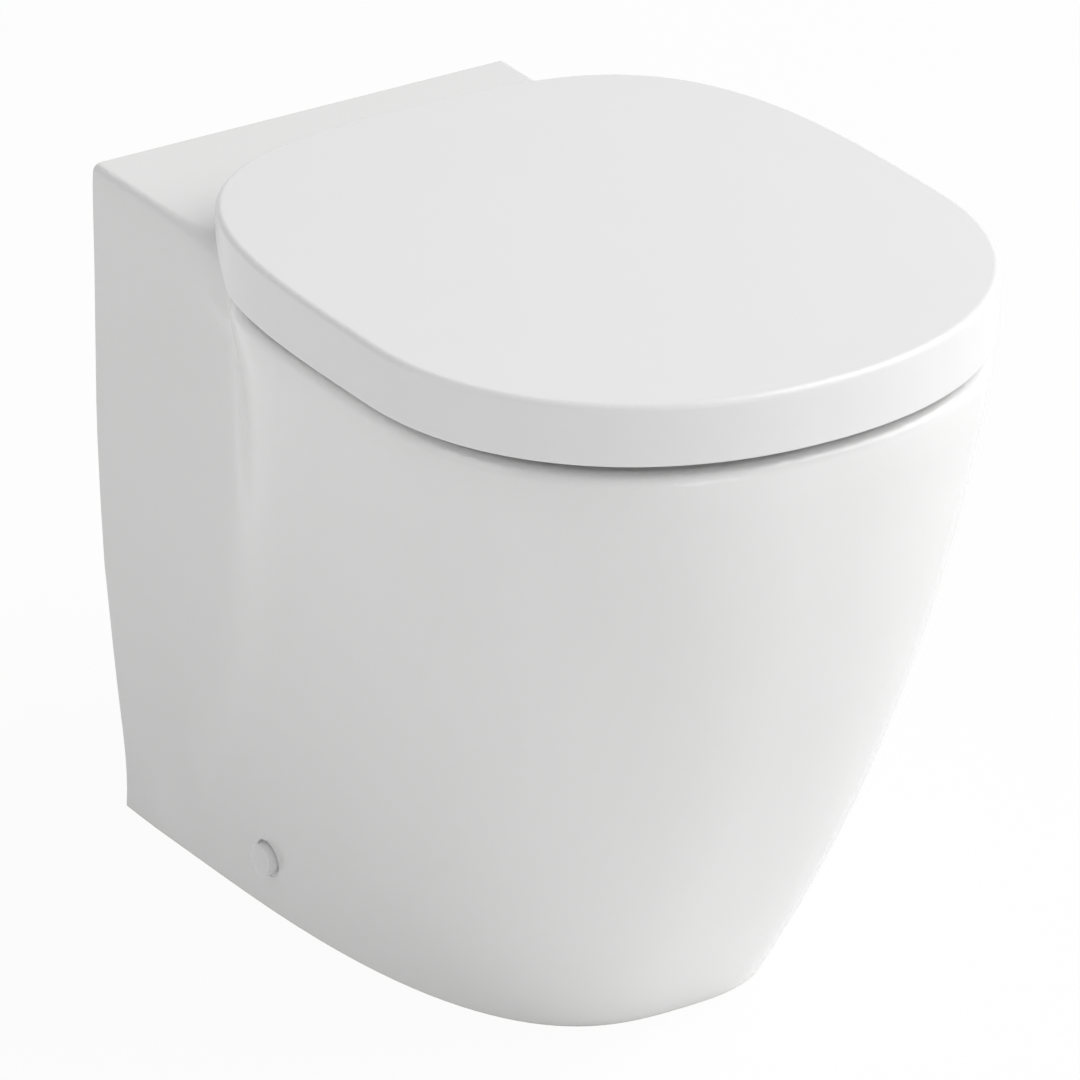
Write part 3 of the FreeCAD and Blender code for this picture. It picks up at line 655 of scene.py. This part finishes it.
def white_rays(tree):
    """1 for rays from the camera and for mirrored and passed-on rays, 0 for the light itself."""
    path = tree.nodes.new("ShaderNodeLightPath").outputs
    total = path["Is Camera Ray"]
    for kind in ("Is Glossy Ray", "Is Transmission Ray"):
        either = tree.nodes.new("ShaderNodeMath")
        either.operation = "MAXIMUM"
        tree.links.new(total, either.inputs[0])
        tree.links.new(path[kind], either.inputs[1])
        total = either.outputs[0]
    return total


level = world_nodes.new("ShaderNodeMapRange")
level.inputs["To Min"].default_value = AMBIENT
level.inputs["To Max"].default_value = 1.0
world_links.new(white_rays(world.node_tree), level.inputs["Value"])
backdrop = world_nodes["Background"]
backdrop.inputs["Color"].default_value = (1, 1, 1, 1)
world_links.new(level.outputs["Result"], backdrop.inputs["Strength"])
print("world strength", AMBIENT)

# %% [markdown]
# ### Floor
# The floor is one pale sheet just under the foot. It could be lit until it is white, but so much light would
# wash out the object. To the camera it glows white instead and lets a little of its own shading through,
# which leaves a soft shadow of the object.

# %% Floor
FLOOR_REACH, FLOOR_DROP = 6.0, 0.2 * MM
FLOOR_COLOUR, FLOOR_ROUGHNESS, FLOOR_GLOW = (0.92, 0.92, 0.92, 1), 0.9, 0.93
floor_mesh = bpy.data.meshes.new("floor")
corners = np.array([(-1, -1, 0), (1, -1, 0), (1, 1, 0), (-1, 1, 0)]) * FLOOR_REACH
floor_mesh.from_pydata(corners.tolist(), [], [(0, 1, 2, 3)])
floor = bpy.data.objects.new("floor", floor_mesh)
bpy.context.scene.collection.objects.link(floor)
floor.location.z = -FLOOR_DROP
print("floor", 2 * FLOOR_REACH, "m wide")

# %% Floor finish
pale = bpy.data.materials.new("floor_white")
pale.use_nodes = True
pale_nodes, pale_links = pale.node_tree.nodes, pale.node_tree.links
matt = pale_nodes["Principled BSDF"]
matt.inputs["Base Color"].default_value = FLOOR_COLOUR
matt.inputs["Roughness"].default_value = FLOOR_ROUGHNESS
glow = pale_nodes.new("ShaderNodeEmission")
blend = pale_nodes.new("ShaderNodeMixShader")
share = pale_nodes.new("ShaderNodeMath")
share.operation = "MULTIPLY"
share.inputs[1].default_value = FLOOR_GLOW
pale_links.new(white_rays(pale.node_tree), share.inputs[0])
pale_links.new(share.outputs[0], blend.inputs["Fac"])
pale_links.new(matt.outputs[0], blend.inputs[1])
pale_links.new(glow.outputs[0], blend.inputs[2])
pale_links.new(blend.outputs[0], pale_nodes["Material Output"].inputs["Surface"])
floor_mesh.materials.append(pale)
print("floor glow", FLOOR_GLOW)

# %% [markdown]
# ### Lamps
# The large key lamp gives the difference between the sides. A weak lamp near the left flank lights its top
# more than its foot, and one near the floor lifts the front of the foot. Test pictures with one lamp each,
# compared with the photograph's tones, gave their powers.

# %% Lamps
MIDDLE = Vector((0.0, 0.0, 0.22))


def soft_lamp(name, place, size, power):
    """Round area lamp that faces the middle of the object."""
    lamp = bpy.data.lights.new(name, "AREA")
    lamp.shape = "DISK"
    lamp.size = size
    lamp.energy = power
    holder = bpy.data.objects.new(name, lamp)
    bpy.context.scene.collection.objects.link(holder)
    holder.location = place
    holder.rotation_euler = (MIDDLE - Vector(place)).to_track_quat("-Z", "Y").to_euler()
    print(name, "lamp", power, "W")


soft_lamp("key", (2.45, -1.41, 3.05), size=4.0, power=127.0)
soft_lamp("side", (-1.2, 0.1, 0.8), size=0.8, power=1.8)
soft_lamp("front", (-0.3, -3.47, 0.59), size=1.6, power=11.6)

# %% [markdown]
# ## The camera
# The outlines of the lid, the deck and the foot fix the photograph's camera: a long lens far away,
# about 33 degrees to the left of the front and 25 degrees above the floor. The frame is shifted a little,
# because the object doesn't stand in the middle of the photograph.

# %% Camera
PHOTO_AZIMUTH, PHOTO_ELEVATION = math.radians(-32.72), math.radians(25.28)
DISTANCE = 7463 * MM
FOCAL_LENGTH, SENSOR_WIDTH = 453.1, 36.0
FAR_CLIP = 100.0
LOOK_AT = Vector((0, -6.3, 220)) * MM
SHIFT_RIGHT, SHIFT_UP = -15.0 * MM, 18.1 * MM
back = Vector((math.sin(PHOTO_AZIMUTH) * math.cos(PHOTO_ELEVATION),
               -math.cos(PHOTO_AZIMUTH) * math.cos(PHOTO_ELEVATION),
               math.sin(PHOTO_ELEVATION)))
turn = back.to_track_quat("Z", "Y")
right, up = turn @ Vector((1, 0, 0)), turn @ Vector((0, 1, 0))
lens = bpy.data.cameras.new("photo_camera")
lens.lens = FOCAL_LENGTH
lens.sensor_width = SENSOR_WIDTH
lens.clip_end = FAR_CLIP
camera = bpy.data.objects.new("photo_camera", lens)
bpy.context.scene.collection.objects.link(camera)
camera.location = LOOK_AT + right * SHIFT_RIGHT + up * SHIFT_UP + back * DISTANCE
camera.rotation_euler = turn.to_euler()
bpy.context.scene.camera = camera
bpy.context.scene.view_settings.view_transform = "Standard"
print("camera at", [round(v, 3) for v in camera.location])
